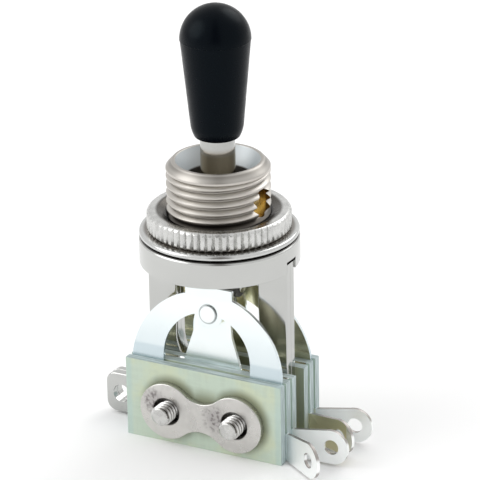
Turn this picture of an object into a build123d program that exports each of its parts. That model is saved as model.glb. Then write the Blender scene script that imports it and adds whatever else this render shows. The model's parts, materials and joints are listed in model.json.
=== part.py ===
from build123d import *
import math
import os

# Three-position toggle switch with a short, straight, open frame.
# Millimetres. The origin is on the bushing's axis, in the collar's upper face,
# where the panel's underside lies. +Z runs along the bushing to the lever's tip,
# X runs along the pivot pin, and the front contact stack lies towards -Y.

# ---------------------------------------------------------------- driving sizes
# housing: threaded bushing and collar, turned in one piece
thread_r = 5.95
bushing_h = 9.0
thread_top_z = 8.2
rim_bevel_w = 0.75
rim_w = 0.38
bore_r = 3.4
funnel_h = 2.5
collar_step = 3.25
collar_h = 3.1
collar_edge = 0.25
mouth_r = 4.5
mouth_h = 4.1
relief_depth = 0.3
relief_w = 0.6

# pivot
pivot_z = 4.4
pin_r = 0.95
pin_recess_r = 1.5
pin_recess_depth = 1.35
pin_crown = 0.15

# washer and round nut
washer_h = 0.8
washer_edge = 0.25
washer_gap = 0.12
nut_wall = 2.3
nut_h = 2.27
nut_chamfer = 0.3
nut_dish_gap = 0.25
nut_dish_w = 0.9
nut_dish_depth = 0.45
knurl_count = 62
knurl_depth = 0.28

# lever, its tip and its cam
lever_r = 2.0
ball_r = 3.0
running_gap = 0.05
lever_top_z = 18.8
shoulder_z = -3.2
shoulder_chamfer = 0.5
tang_t = 1.6
tang_r = 1.1
cam_z = -6.2
cam_r = 1.3
cam_edge_r = 0.26
cam_half_w = 2.7
cam_pin_r = 0.5
cam_pin_head_r = 0.75
cam_pin_head_t = 0.2
tip_top_r = 4.02
tip_dome_z = 23.2
tip_foot_r = 2.97
tip_foot_z = 12.6
tip_bottom_z = 11.5
tip_round_r = 1.15

# frame
frame_t = 2.0
frame_half_w = 8.97
window_half_w = 5.3
frame_edge_r = 0.2
window_foot_z = -13.3
frame_foot_z = -24.95
slot_depth = 1.15
slot_gap = 0.25
ground_lug_out = 5.03
ground_lug_h = 5.0
ground_lug_corner_r = 1.3
ground_eye_r = 1.12
ground_eye_in = 2.05
ground_eye_up = 2.45

# contact stacks
stack_half_w = 10.07
stack_top_z = -15.5
stack_foot_z = -25.3
insulator_t = 1.05
leaf_t = 0.4
leaf_foot_inset = 0.5
leaf_side_inset = 0.37

# outer leaf: an arch with a tab that the cam pushes
arch_top_z = -6.4
arch_w = 4.1
arch_window_foot_z = -16.3
arch_boss_r = 1.75
tab_half_w = 3.0
tab_top_z = -5.7
tab_bend_z = -7.2

# inner leaf: a tapered tongue
tongue_foot_half_w = 3.8
tongue_neck_half_w = 2.5
tongue_neck_z = -11.9
tongue_top_z = -7.75
tongue_top_half_w = 2.1
tongue_corner_r = 0.9

# contact rivets
contact_z = -8.9
contact_head_r = 1.0
contact_head_t = 0.32
contact_shank_r = 0.6
contact_boss_r = 1.1
contact_boss_t = 0.2
contact_gap = 0.05
inner_leaf_lean = 3.1

# solder lugs
lug_bend_gap = 0.23
lug_reach = 4.85
lug_r = 2.1
lug_z = -22.95
lug_root_top_z = -21.65
lug_eye_r = 0.9
front_outer_lug_turn = -34
front_inner_lug_turn = 0
rear_inner_lug_turn = -20
rear_outer_lug_turn = 4

# clamp plates and screws
clamp_t = 0.8
clamp_lobe_r = 3.45
clamp_pitch = 8.8
clamp_neck_h = 3.6
clamp_z = -21.05
screw_r = 1.25
screw_end = 1.6
screw_tip = 0.25
screw_head_r = 2.2
screw_head_h = 1.5
screw_head_edge_r = 0.5
screw_slot_w = 0.6
screw_slot_depth = 0.7
screw_gap = 0.05
sleeve_t = 0.55
countersink_r = 1.75
leaf_hole_gap = 0.15

# ---------------------------------------------------------------- worked-out places
rim_outer_r = thread_r - rim_bevel_w
rim_inner_r = rim_outer_r - rim_w
collar_r = thread_r + collar_step
nut_z = washer_h
nut_top_z = nut_z + nut_h
nut_r = thread_r + nut_wall
nut_dish_inner_r = thread_r + nut_dish_gap
nut_dish_outer_r = nut_dish_inner_r + nut_dish_w
frame_face = frame_t / 2
ground_lug_reach = stack_half_w + ground_lug_out
ground_eye_x = ground_eye_in - ground_lug_reach
inner_leaf_y = frame_face + insulator_t + leaf_t / 2
outer_leaf_y = inner_leaf_y + leaf_t + insulator_t
stack_face = outer_leaf_y + leaf_t / 2 + insulator_t
clamp_face = stack_face + clamp_t
sleeve_r = screw_r + screw_gap + sleeve_t
leaf_foot_z = stack_foot_z + leaf_foot_inset
arch_outer_r = stack_half_w - leaf_side_inset
arch_inner_r = arch_outer_r - arch_w
arch_centre_z = arch_top_z - arch_outer_r
arch_window_z = contact_z - arch_inner_r
lug_bend_x = stack_half_w + lug_bend_gap
contact_rise = contact_z - stack_top_z
contact_stack = leaf_t + 2 * contact_head_t + contact_gap
inner_leaf_shift = contact_rise * math.tan(math.radians(inner_leaf_lean))
outer_leaf_shift = inner_leaf_shift + outer_leaf_y - inner_leaf_y - contact_stack
outer_leaf_lean = math.degrees(math.atan2(outer_leaf_shift, contact_rise))
screw_xs = (-clamp_pitch / 2, clamp_pitch / 2)
far = 60.0


# ---------------------------------------------------------------- helpers
def flat(outline, y_from, y_to):
    """A flat sheet between two Y values, from an outline drawn in X and Z."""
    low, high = sorted((y_from, y_to))
    return extrude(Plane.XZ.offset(-high) * outline, amount=high - low)


def rod_x(radius, x_from, x_to, z):
    """A round bar along X at height z."""
    return Plane.YZ.offset(x_from) * Pos(0, z) * extrude(Circle(radius), amount=x_to - x_from)


def rod_y(radius, y_from, y_to, x, z):
    """A round bar along Y through (x, z)."""
    return flat(Pos(x, z) * Circle(radius), y_from, y_to)


def turned(*points):
    """A solid turned about Z, with its seam at +Y, from a closed outline of (radius, height) points."""
    return revolve(Plane.YZ * make_face(Polyline(*points, close=True)), Axis.Z)


def save(part, name):
    part.label = name
    export_step(part, f"parts/{name}.step")


# ---------------------------------------------------------------- housing and what is on it
def housing():
    edge = collar_edge
    relief_z = nut_top_z - nut_dish_depth
    body = turned(
        (mouth_r, -collar_h),
        (collar_r - edge, -collar_h),
        (collar_r, edge - collar_h),
        (collar_r, -edge),
        (collar_r - edge, 0),
        (thread_r, 0),
        (thread_r, relief_z),
        (thread_r - relief_depth, relief_z + relief_w / 2),
        (thread_r, relief_z + relief_w),
        (thread_r, thread_top_z),
        (rim_outer_r, bushing_h),
        (rim_inner_r, bushing_h),
        (bore_r, bushing_h - funnel_h),
        (bore_r, mouth_h - collar_h),
    )
    body -= rod_x(pin_r, -collar_r, collar_r, pivot_z)
    recess_floor = thread_r - pin_recess_depth
    for x_from, x_to in ((-collar_r, -recess_floor), (recess_floor, collar_r)):
        body -= rod_x(pin_recess_r, x_from, x_to, pivot_z)
    slots = Pos(0, slot_depth / 2 - collar_h) * Rectangle(far, slot_depth)
    slots -= Rectangle(2 * window_half_w, far)
    return body - flat(slots, -frame_face, frame_face)


def pivot_pin():
    half = thread_r - pin_recess_depth + pin_crown
    pin = rod_x(pin_r, -half, half, pivot_z)
    return chamfer(pin.edges(), pin_crown)


def washer():
    top = washer_h
    return turned(
        (thread_r + running_gap, 0),
        (collar_r - washer_edge, 0),
        (collar_r - washer_gap / 2, washer_gap),
        (collar_r, top - washer_edge),
        (collar_r - washer_edge, top),
        (thread_r + running_gap, top),
    )


def knurled_nut():
    blank = turned(
        (thread_r, nut_z),
        (nut_r - nut_chamfer, nut_z),
        (nut_r, nut_z + nut_chamfer),
        (nut_r, nut_top_z - nut_chamfer),
        (nut_r - nut_chamfer, nut_top_z),
        (nut_dish_outer_r, nut_top_z),
        (nut_dish_inner_r, nut_top_z - nut_dish_depth),
        (thread_r, nut_top_z - nut_dish_depth),
    )
    crest = nut_r + knurl_depth / 2
    star = []
    for tooth in range(knurl_count):
        for radius, part_turn in ((crest, 0), (nut_r - knurl_depth, 0.5)):
            star.append(Vector(radius, 0).rotate(Axis.Z, 360 * (tooth + part_turn) / knurl_count))
    toothed = extrude(make_face(Polyline(*star, close=True)), amount=nut_top_z)
    return blank & toothed


# ---------------------------------------------------------------- lever and what rides on it
def lever():
    rod = Cylinder(lever_r, lever_top_z - shoulder_z, align=(Align.CENTER, Align.CENTER, Align.MIN))
    rod = chamfer(rod.edges(), shoulder_chamfer)
    tang = Pos(0, (shoulder_z + cam_z) / 2 + shoulder_chamfer) * Rectangle(
        2 * tang_r, shoulder_z - cam_z + 2 * shoulder_chamfer
    )
    tang += Pos(0, cam_z) * Circle(tang_r)
    tang = Plane.YZ.offset(-tang_t / 2) * extrude(tang, amount=tang_t)
    body = Pos(0, 0, shoulder_z) * rod + Pos(0, 0, pivot_z) * Sphere(ball_r) + tang
    body -= rod_x(pin_r + running_gap, -ball_r, ball_r, pivot_z)
    return body - rod_x(cam_pin_r, -tang_t, tang_t, cam_z)


def cam_pin():
    end = cam_half_w + cam_pin_head_t
    pin = rod_x(cam_pin_r, -end, end, cam_z)
    for x_from in (-end, cam_half_w):
        pin += rod_x(cam_pin_head_r, x_from, x_from + cam_pin_head_t, cam_z)
    return pin


def cam_bush(side):
    near, far_end = sorted((side * tang_t / 2, side * cam_half_w))
    bush = rod_x(cam_r, near, far_end, cam_z)
    bush = fillet(bush.edges(), cam_edge_r)
    return bush - rod_x(cam_pin_r, near, far_end, cam_z)


def lever_tip():
    foot_edge_r = tip_foot_r - tip_round_r
    with BuildPart() as tip:
        with BuildSketch(Plane.XZ):
            with BuildLine():
                dome = CenterArc((0, tip_dome_z), tip_top_r, 0, 90)
                side = Line(dome @ 0, (tip_foot_r, tip_foot_z))
                Line(side @ 1, (foot_edge_r, tip_bottom_z))
                Line((foot_edge_r, tip_bottom_z), (0, tip_bottom_z))
                Line((0, tip_bottom_z), dome @ 1)
            make_face()
            foot = [v for v in vertices() if abs(v.Z - tip_foot_z) < 1e-6]
            fillet(foot, (tip_foot_z - tip_bottom_z) / 2)
        revolve(axis=Axis.Z)
        with Locations((0, 0, tip_bottom_z)):
            Hole(lever_r, lever_top_z - tip_bottom_z)
    return tip.part


# ---------------------------------------------------------------- frame and stacks
def frame():
    top_z = slot_depth - slot_gap - collar_h
    outline = Pos(0, (frame_foot_z + top_z) / 2) * Rectangle(2 * frame_half_w, top_z - frame_foot_z)
    outline -= Pos(0, window_foot_z) * Circle(window_half_w)
    outline -= Pos(0, window_foot_z + far / 2) * Rectangle(2 * window_half_w, far)
    lug = Pos(-ground_lug_reach / 2, frame_foot_z + ground_lug_h / 2) * Rectangle(
        ground_lug_reach, ground_lug_h
    )
    lug = fillet(lug.vertices().group_by(Axis.X)[0], ground_lug_corner_r)
    outline += lug
    outline -= Pos(ground_eye_x, frame_foot_z + ground_eye_up) * Circle(ground_eye_r)
    sheet = flat(with_sleeve_holes(outline), -frame_face, frame_face)
    faces = sheet.faces().sort_by(Axis.Y)
    return fillet(faces[0].outer_wire().edges() + faces[-1].outer_wire().edges(), frame_edge_r)


def with_sleeve_holes(outline, gap=0):
    """An outline with the two holes that the sleeves pass through."""
    for x in screw_xs:
        outline -= Pos(x, clamp_z) * Circle(sleeve_r + gap)
    return outline


def insulator(side, place):
    height = stack_top_z - stack_foot_z
    outline = Pos(0, stack_foot_z + height / 2) * Rectangle(2 * stack_half_w, height)
    near = frame_face + (place - 1) * (insulator_t + leaf_t)
    return flat(with_sleeve_holes(outline), side * near, side * (near + insulator_t))


def leaf_foot():
    """The part of a leaf that the stack holds."""
    height = stack_top_z - leaf_foot_z
    return Pos(0, leaf_foot_z + height / 2) * Rectangle(2 * arch_outer_r, height)


def arch_outline():
    arch = Pos(0, arch_centre_z) * Circle(arch_outer_r)
    arch += Pos(0, (tab_top_z + contact_z) / 2) * Rectangle(2 * tab_half_w, tab_top_z - contact_z)
    arch &= Pos(0, leaf_foot_z + far / 2) * Rectangle(far, far)
    window_foot_h = arch_window_z - arch_window_foot_z
    window = Pos(0, arch_window_z) * Circle(arch_inner_r)
    window &= Pos(0, arch_window_foot_z + far / 2) * Rectangle(far, far)
    window += Pos(0, arch_window_z - window_foot_h / 2) * Rectangle(2 * arch_inner_r, window_foot_h)
    arch = leaf_foot() + arch - window + Pos(0, contact_z) * Circle(arch_boss_r)
    return with_sleeve_holes(arch, leaf_hole_gap)


def tongue_outline():
    tongue = make_face(
        Polyline(
            (-tongue_foot_half_w, stack_top_z - leaf_t),
            (tongue_foot_half_w, stack_top_z - leaf_t),
            (tongue_neck_half_w, tongue_neck_z),
            (tongue_top_half_w, tongue_top_z),
            (-tongue_top_half_w, tongue_top_z),
            (-tongue_neck_half_w, tongue_neck_z),
            close=True,
        )
    )
    top = [v for v in tongue.vertices() if abs(v.Y - tongue_top_z) < 1e-6]
    return with_sleeve_holes(leaf_foot() + fillet(top, tongue_corner_r), leaf_hole_gap)


def leaf_y(y, lean, z):
    """How far the centre plane of a leaf that leans inwards is from y = 0 at height z."""
    return y - (z - stack_top_z) * math.tan(math.radians(lean))


def leaf_run(side, y, *above):
    """The leaf's bent strip seen from the side: upright in the stack, then through above."""
    knee = (y, stack_top_z)
    line = Polyline((y, leaf_foot_z - leaf_t), knee, *above)
    strip = Plane.YZ.offset(-far / 2) * extrude(trace(line, leaf_t), amount=far)
    return strip if side > 0 else mirror(strip, about=Plane.XZ)


def solder_lug(side, y, turn):
    """A rounded solder lug with an eyelet, turned about an upright bend beside the stack."""
    eye = (lug_bend_x + lug_reach, lug_z)
    root_foot = (lug_bend_x, lug_z - lug_r)
    web = make_face(
        Polyline(
            (lug_bend_x, lug_root_top_z),
            (eye[0], lug_z + lug_r),
            (eye[0], lug_z - lug_r),
            root_foot,
            close=True,
        )
    )
    lug = web + Pos(*eye) * Circle(lug_r) - Pos(*eye) * Circle(lug_eye_r)
    lug = flat(lug, side * y - leaf_t / 2, side * y + leaf_t / 2)
    root_h = lug_root_top_z - root_foot[1]
    root_w = lug_bend_x - arch_outer_r
    root = Pos(lug_bend_x - root_w / 2, root_foot[1] + root_h / 2) * Rectangle(root_w, root_h)
    root = flat(root, side * y - leaf_t / 2, side * y + leaf_t / 2)
    knuckle = Pos(lug_bend_x, side * y, root_foot[1] + root_h / 2) * Cylinder(leaf_t / 2, root_h)
    bend = Axis((lug_bend_x, side * y, 0), (0, 0, 1))
    return root + knuckle + lug.rotate(bend, turn)


def on_leaf(shape, side, y, lean):
    """Moves a rivet from the flat leaf at y = 0 to its place on the leaning leaf."""
    placed = Pos(0, y, stack_top_z) * Rot(X=lean) * Pos(0, 0, contact_z - stack_top_z) * shape
    return placed if side > 0 else mirror(placed, about=Plane.XZ)


def rivet(contact_side):
    """A contact rivet about the leaf's centre plane, its head towards contact_side."""
    skin = contact_side * leaf_t / 2
    head_end = skin + contact_side * contact_head_t
    boss_end = -skin - contact_side * contact_boss_t
    head = rod_y(contact_head_r, skin, head_end, 0, 0)
    head = fillet(head.faces().sort_by(Axis.Y)[-1 if contact_side > 0 else 0].edges(), contact_head_t / 2)
    boss = rod_y(contact_boss_r, -skin, boss_end, 0, 0)
    boss = fillet(boss.faces().sort_by(Axis.Y)[0 if contact_side > 0 else -1].edges(), contact_boss_t / 2)
    return head + boss + rod_y(contact_shank_r, -skin, skin, 0, 0)


def outer_leaf(side, turn):
    tab_y = leaf_y(outer_leaf_y, outer_leaf_lean, tab_bend_z)
    leaf = leaf_run(side, outer_leaf_y, (tab_y, tab_bend_z), (tab_y, tab_top_z + leaf_t))
    leaf &= flat(arch_outline(), -far, far)
    leaf += solder_lug(side, outer_leaf_y, turn)
    hole = rod_y(contact_shank_r, -leaf_t, leaf_t, 0, 0)
    return leaf - on_leaf(hole, side, outer_leaf_y, outer_leaf_lean)


def inner_leaf(side, turn):
    past_top = tongue_top_z + leaf_t
    leaf = leaf_run(side, inner_leaf_y, (leaf_y(inner_leaf_y, inner_leaf_lean, past_top), past_top))
    leaf &= flat(tongue_outline(), -far, far)
    leaf += solder_lug(side, inner_leaf_y, turn)
    hole = rod_y(contact_shank_r, -leaf_t, leaf_t, 0, 0)
    return leaf - on_leaf(hole, side, inner_leaf_y, inner_leaf_lean)


def outer_contact(side):
    return on_leaf(rivet(-1), side, outer_leaf_y, outer_leaf_lean)


def inner_contact(side):
    return on_leaf(rivet(1), side, inner_leaf_y, inner_leaf_lean)


# ---------------------------------------------------------------- clamp plates and screws
def clamp_outline():
    """A figure of eight: two lobes joined by a neck with one concave arc on each side."""
    half_pitch = clamp_pitch / 2
    half_neck = clamp_neck_h / 2
    waist_r = (half_neck**2 + half_pitch**2 - clamp_lobe_r**2) / (2 * (clamp_lobe_r - half_neck))
    share = clamp_lobe_r / (clamp_lobe_r + waist_r)
    waist_z = half_neck + waist_r
    outline = Rectangle(2 * half_pitch * (1 - share), 2 * waist_z * share)
    for z in (-waist_z, waist_z):
        outline -= Pos(0, z) * Circle(waist_r)
    for x in screw_xs:
        outline += Pos(x, 0) * Circle(clamp_lobe_r)
    return Pos(0, clamp_z) * outline


def clamp_plate(side, hole_r):
    plate = flat(clamp_outline(), side * stack_face, side * clamp_face)
    for x in screw_xs:
        plate -= rod_y(hole_r, -far, far, x, clamp_z)
        sink = Cone(hole_r, countersink_r, countersink_r - hole_r)
        sink_y = side * (clamp_face - (countersink_r - hole_r) / 2)
        plate -= Pos(x, sink_y, clamp_z) * Rot(X=-90 * side) * sink
    return plate


def screw(x):
    shank = rod_y(screw_r, -clamp_face - screw_end, clamp_face, x, clamp_z)
    shank = chamfer(shank.faces().sort_by(Axis.Y)[0].edges(), screw_tip)
    head = rod_y(screw_head_r, clamp_face, clamp_face + screw_head_h, x, clamp_z)
    head = fillet(head.faces().sort_by(Axis.Y)[-1].edges(), screw_head_edge_r)
    slot_floor = clamp_face + screw_head_h - screw_slot_depth
    slot = flat(Pos(x, clamp_z) * Rectangle(far, screw_slot_w), slot_floor, far)
    return shank + head - slot


def sleeve(x):
    tube = Pos(x, clamp_z) * (Circle(sleeve_r) - Circle(screw_r + screw_gap))
    return flat(tube, -stack_face, stack_face)


# ---------------------------------------------------------------- build
os.makedirs("parts", exist_ok=True)

save(housing(), "housing")
save(pivot_pin(), "pivot_pin")
save(washer(), "washer")
save(knurled_nut(), "knurled_nut")
save(lever(), "lever")
save(lever_tip(), "lever_tip")
save(cam_pin(), "cam_pin")
save(cam_bush(-1), "left_cam_bush")
save(cam_bush(1), "right_cam_bush")
save(frame(), "frame")
for side_name, side, inner_turn, outer_turn in (
    ("front", -1, front_inner_lug_turn, front_outer_lug_turn),
    ("rear", 1, rear_inner_lug_turn, rear_outer_lug_turn),
):
    for place in (1, 2, 3):
        save(insulator(side, place), f"{side_name}_insulator_{place}")
    save(inner_leaf(side, inner_turn), f"{side_name}_inner_leaf")
    save(outer_leaf(side, outer_turn), f"{side_name}_outer_leaf")
    save(inner_contact(side), f"{side_name}_inner_contact")
    save(outer_contact(side), f"{side_name}_outer_contact")
save(clamp_plate(-1, screw_r), "front_clamp_plate")
save(clamp_plate(1, screw_r + 2 * screw_gap), "rear_clamp_plate")
for side_name, x in zip(("left", "right"), screw_xs):
    save(screw(x), f"{side_name}_screw")
    save(sleeve(x), f"{side_name}_sleeve")
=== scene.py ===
import json
import math
import random

import bpy
from bpy.props import FloatProperty, FloatVectorProperty, IntProperty, PointerProperty
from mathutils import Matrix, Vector


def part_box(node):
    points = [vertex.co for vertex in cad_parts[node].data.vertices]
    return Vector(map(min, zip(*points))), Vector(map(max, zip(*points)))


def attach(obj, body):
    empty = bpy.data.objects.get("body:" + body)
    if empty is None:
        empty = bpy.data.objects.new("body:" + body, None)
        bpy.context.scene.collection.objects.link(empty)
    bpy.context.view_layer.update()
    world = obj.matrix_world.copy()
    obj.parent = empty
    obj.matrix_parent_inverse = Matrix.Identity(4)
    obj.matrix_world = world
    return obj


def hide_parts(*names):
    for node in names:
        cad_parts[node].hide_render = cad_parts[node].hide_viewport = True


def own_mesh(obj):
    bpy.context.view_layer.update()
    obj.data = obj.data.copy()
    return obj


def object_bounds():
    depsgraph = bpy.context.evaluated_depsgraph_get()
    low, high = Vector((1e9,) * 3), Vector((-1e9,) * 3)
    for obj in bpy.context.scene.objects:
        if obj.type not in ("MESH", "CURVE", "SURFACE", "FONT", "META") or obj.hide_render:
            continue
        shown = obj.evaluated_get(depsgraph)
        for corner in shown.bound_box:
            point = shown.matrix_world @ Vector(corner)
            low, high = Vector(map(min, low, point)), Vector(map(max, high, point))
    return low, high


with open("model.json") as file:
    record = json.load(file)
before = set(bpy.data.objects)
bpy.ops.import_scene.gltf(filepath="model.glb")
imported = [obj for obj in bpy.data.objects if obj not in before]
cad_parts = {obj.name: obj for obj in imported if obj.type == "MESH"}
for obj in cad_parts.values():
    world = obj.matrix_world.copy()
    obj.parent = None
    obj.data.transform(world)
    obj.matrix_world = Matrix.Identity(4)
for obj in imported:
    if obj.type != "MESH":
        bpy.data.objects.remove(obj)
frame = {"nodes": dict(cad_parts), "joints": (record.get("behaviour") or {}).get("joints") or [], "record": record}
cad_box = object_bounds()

bl_info = {
    "name": "Panel Toggle Switch",
    "version": (1, 0, 0),
    "blender": (4, 5, 0),
    "location": "3D View > Sidebar > Toggle Switch",
    "description": "Builds the finished pieces of a panel toggle switch on its construction frame",
    "category": "Object",
}

# -------- places read from the frame
MM = 0.001
MERGE = 2e-7            # vertices nearer than this become one
CAP_STEPS = 128         # facets around each kind of turned piece
BARREL_STEPS = 160
SCREW_STEPS = 64
DOME_STEPS = 24         # steps from the top of the cap's dome to its side
MOUNTS = {mount["name"]: mount for mount in frame["record"]["mounts"]}
PIVOT = Vector(frame["joints"][0]["pos_m"])
SIDES = (("front", -1), ("rear", 1))
SCREWS = ("left_screw", "right_screw")
THREAD_RADIUS = MOUNTS["bushing_thread"]["dims"]["r_mm"] * MM


def low(node):
    """Lowest corner of a construction node."""
    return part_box(node)[0]


def high(node):
    """Highest corner of a construction node."""
    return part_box(node)[1]


def middle(node):
    """Centre of a construction node's box."""
    return (low(node) + high(node)) / 2


# -------- sizes and colours a user would change
def length(name, description, millimetres):
    return FloatProperty(
        name=name, description=description, default=millimetres * MM, unit="LENGTH", precision=5
    )


def degrees(name, description, turn):
    return FloatProperty(name=name, description=description, default=math.radians(turn), subtype="ANGLE")


def colour(name, description, red, green, blue):
    return FloatVectorProperty(
        name=name, description=description, default=(red, green, blue), min=0, max=1, size=3,
        subtype="COLOR",
    )


class TipSettings(bpy.types.PropertyGroup):
    """Shape of the moulded cap on the lever"""

    crease: length("Crease", "How far the taper starts inside the dome", 0.05)
    foot_radius: length("Foot radius", "Radius of the cap just above its lower edge", 2.97)
    foot_round: length("Foot rounding", "Rounding of the cap's lower edge", 1.15)
    bore: length("Bore radius", "Radius of the hole for the shaft", 2.02)
    bore_depth: length("Bore depth", "Depth of the hole for the shaft", 7.3)


class BushingSettings(bpy.types.PropertyGroup):
    """Shape of the threaded bushing and its collar"""

    pitch: length("Thread pitch", "Height of one turn of the thread", 1.0)
    depth: length("Thread depth", "Height of the thread's crest above its root", 0.5)
    shoulder: length("Shoulder", "Height of the plain shoulder below the thread", 0.8)
    bevel: length("Rim bevel", "Width of the bevel around the bushing's mouth", 0.75)
    bevel_height: length("Bevel height", "Height of the bevel around the bushing's mouth", 0.8)
    land: length("Land", "Height of the plain band between thread and bevel", 0.3)
    rim: length("Rim width", "Width of the flat rim", 0.32)
    throat: length("Throat radius", "Radius at the foot of the mouth's cone", 3.8)
    throat_length: length("Throat length", "Height of the straight throat below the cone", 1.4)
    funnel: length("Funnel depth", "Height of the cone between rim and throat", 2.2)
    bore: length("Bore radius", "Radius of the bore around the ball", 3.4)
    collar_edge: length("Collar edge", "Chamfer of the collar's upper edge", 0.25)
    mouth: length("Lower mouth", "Radius of the pocket below the ball", 4.5)
    mouth_height: length("Mouth height", "Height of the pocket below the ball", 4.1)
    recess: length("Pin recess", "Radius of the recess around the pivot pin", 1.62)
    recess_rise: length("Recess rise", "How far the recess is drilled above the pivot pin", 0.12)
    recess_depth: length("Recess depth", "Depth of the recess around the pivot pin", 1.35)
    slot_height: length("Slot height", "Height of the slots that hold the frame", 1.38)
    slot_gap: length("Slot gap", "Clearance beside the frame in its slots", 0.1)
    slot_floor: length("Slot floor", "How near to the axis the slots reach", 5.3)


class NutSettings(bpy.types.PropertyGroup):
    """Shape of the knurled nut"""

    teeth: IntProperty(
        name="Teeth", description="Number of straight teeth around the nut", default=62, min=12
    )
    tooth_depth: length("Tooth depth", "Depth of the grooves between the teeth", 0.3)
    chamfer: length("Chamfer", "Chamfer of the nut's edges", 0.3)
    dish_gap: length("Dish gap", "Flat between thread and dish", 0.25)
    dish_width: length("Dish width", "Width of the dish around the thread", 0.75)
    dish_depth: length("Dish depth", "Depth of the dish around the thread", 0.45)
    unevenness: length("Unevenness", "How much one tooth differs from the next", 0.035)


class SheetSettings(bpy.types.PropertyGroup):
    """Edges of the stamped and cut sheets"""

    leaf_edge: length("Leaf edge", "Rounding of the leaves' stamped edges", 0.06)
    laminate_edge: length("Laminate edge", "Chamfer of the insulators' sawn edges", 0.09)
    plate_edge: length("Plate edge", "Rounding of the clamp plates' edges", 0.12)
    washer_rise: length("Washer rise", "Height of the gap below the washer's rim", 0.22)
    shear_band: length("Shear band", "Depth of the torn band on the frame's stamped edge", 0.03)
    shear_start: length("Shear start", "Where the torn band starts across the edge", -0.45)
    shear_end: length("Shear end", "Where the torn band ends across the edge", 0.05)


class ScrewSettings(bpy.types.PropertyGroup):
    """Shape of the clamp screws"""

    radius: length("Thread radius", "Outer radius of the thread", 1.25)
    pitch: length("Thread pitch", "Height of one turn of the thread", 0.56)
    depth: length("Thread depth", "Height of the thread's crest above its root", 0.27)
    threaded: length("Threaded length", "How much of the shank is threaded", 5.2)
    end_chamfer: length("End chamfer", "Chamfer of the screw's end", 0.28)
    head: length("Head height", "Height of the screw's head", 1.5)
    head_round: length("Head rounding", "Rounding of the screw head's edge", 0.5)
    slot_width: length("Slot width", "Width of the driver slot", 0.6)
    slot_depth: length("Slot depth", "Depth of the driver slot", 0.7)


class ColourSettings(bpy.types.PropertyGroup):
    """Colours of the finishes"""

    cap: colour("Cap", "Moulded cap", 0.0008, 0.0014, 0.0032)
    nickel: colour("Nickel", "Bright nickel plate", 0.535, 0.54, 0.525)
    warm_nickel: colour("Warm nickel", "Duller nickel plate of the turned parts", 0.64, 0.61, 0.565)
    silver: colour("Silver", "Silver plate of the leaves", 0.91, 0.965, 0.965)
    laminate: colour("Laminate", "Glass fibre laminate", 0.525, 0.62, 0.515)
    brass: colour("Brass", "Bare brass", 0.72, 0.46, 0.14)
    bush: colour("Bush", "Dark laminated bush", 0.07, 0.068, 0.065)
    sleeve: colour("Sleeve", "Insulating tube", 0.80, 0.78, 0.70)
    # Painted shade: the near-black colour laid in thread roots, gaps, slots, the bore and the countersinks,
    # standing in for their shadow.
    painted_shade: colour("Grime", "Dirt in grooves", 0.055, 0.045, 0.035)


class StageSettings(bpy.types.PropertyGroup):
    """Camera and studio light"""

    azimuth: degrees("Azimuth", "Camera's turn around the object", 28.3)
    elevation: degrees("Elevation", "Camera's height above level", 22.4)
    roll: degrees("Roll", "Camera's turn about its own line", -1.07)
    distance: length("Distance", "From the camera to the panel seat", 344.7)
    aim_right: length("Aim right", "How far the camera aims to the right of the axis", 2.62)
    aim_down: length("Aim down", "How far the camera aims below the panel seat", 0.5)
    lens: FloatProperty(name="Lens", description="Focal length in millimetres", default=227.3)
    sky: FloatProperty(name="Sky", description="Strength of the light from all around", default=0.90)
    lamp_size: length("Lamp size", "Width of the round lamps", 500)
    lamp_power: FloatProperty(name="Lamp power", description="Power of each lamp in watts", default=1.25)


# -------- modelling helpers
def deselect():
    """Leaves edit mode and deselects everything."""
    if bpy.context.mode != "OBJECT":
        bpy.ops.object.mode_set(mode="OBJECT")
    bpy.ops.object.select_all(action="DESELECT")


def pick(piece):
    """Makes piece the active and only selected object."""
    deselect()
    piece.select_set(True)
    bpy.context.view_layer.objects.active = piece


def edit(piece):
    """Opens piece in edit mode with all of it selected."""
    pick(piece)
    bpy.ops.object.mode_set(mode="EDIT")
    bpy.ops.mesh.select_all(action="SELECT")


def tidy(piece):
    """Merges doubles and turns all faces outwards."""
    edit(piece)
    bpy.ops.mesh.remove_doubles(threshold=MERGE)
    bpy.ops.mesh.normals_make_consistent(inside=False)
    deselect()


def apply_modifier(piece, kind, **values):
    """Adds a modifier with these values and applies it."""
    pick(piece)
    modifier = piece.modifiers.new(kind.lower(), kind)
    for key, value in values.items():
        setattr(modifier, key, value)
    bpy.ops.object.modifier_apply(modifier=modifier.name)


def combine(piece, tool, operation):
    """Adds tool to piece, cuts it out or keeps what both share, and removes tool."""
    apply_modifier(piece, "BOOLEAN", operation=operation, solver="MANIFOLD", object=tool)
    bpy.data.objects.remove(tool)


def place(piece, location=(0, 0, 0), rotation=(0, 0, 0)):
    """Moves a piece and puts its place into its mesh."""
    pick(piece)
    piece.rotation_euler = rotation
    piece.location = location
    bpy.ops.object.transform_apply(location=True, rotation=True, scale=True)


def traced(name, points):
    """A chain of edges, extruded from one vertex point by point. It's left open in edit mode."""
    deselect()
    bpy.ops.mesh.primitive_plane_add(size=MM)
    line = bpy.context.object
    line.name = name
    bpy.ops.object.mode_set(mode="EDIT")
    bpy.ops.mesh.select_mode(type="VERT")
    bpy.ops.mesh.merge(type="CENTER")
    bpy.ops.transform.translate(value=points[0])
    for start, end in zip(points, points[1:]):
        bpy.ops.mesh.extrude_vertices_move(TRANSFORM_OT_translate={"value": end - start})
    bpy.ops.mesh.select_all(action="SELECT")
    return line


def profile(outline):
    """Points in the XZ plane from (radius, height) pairs."""
    return [Vector((radius, 0, height)) for radius, height in outline]


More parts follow.
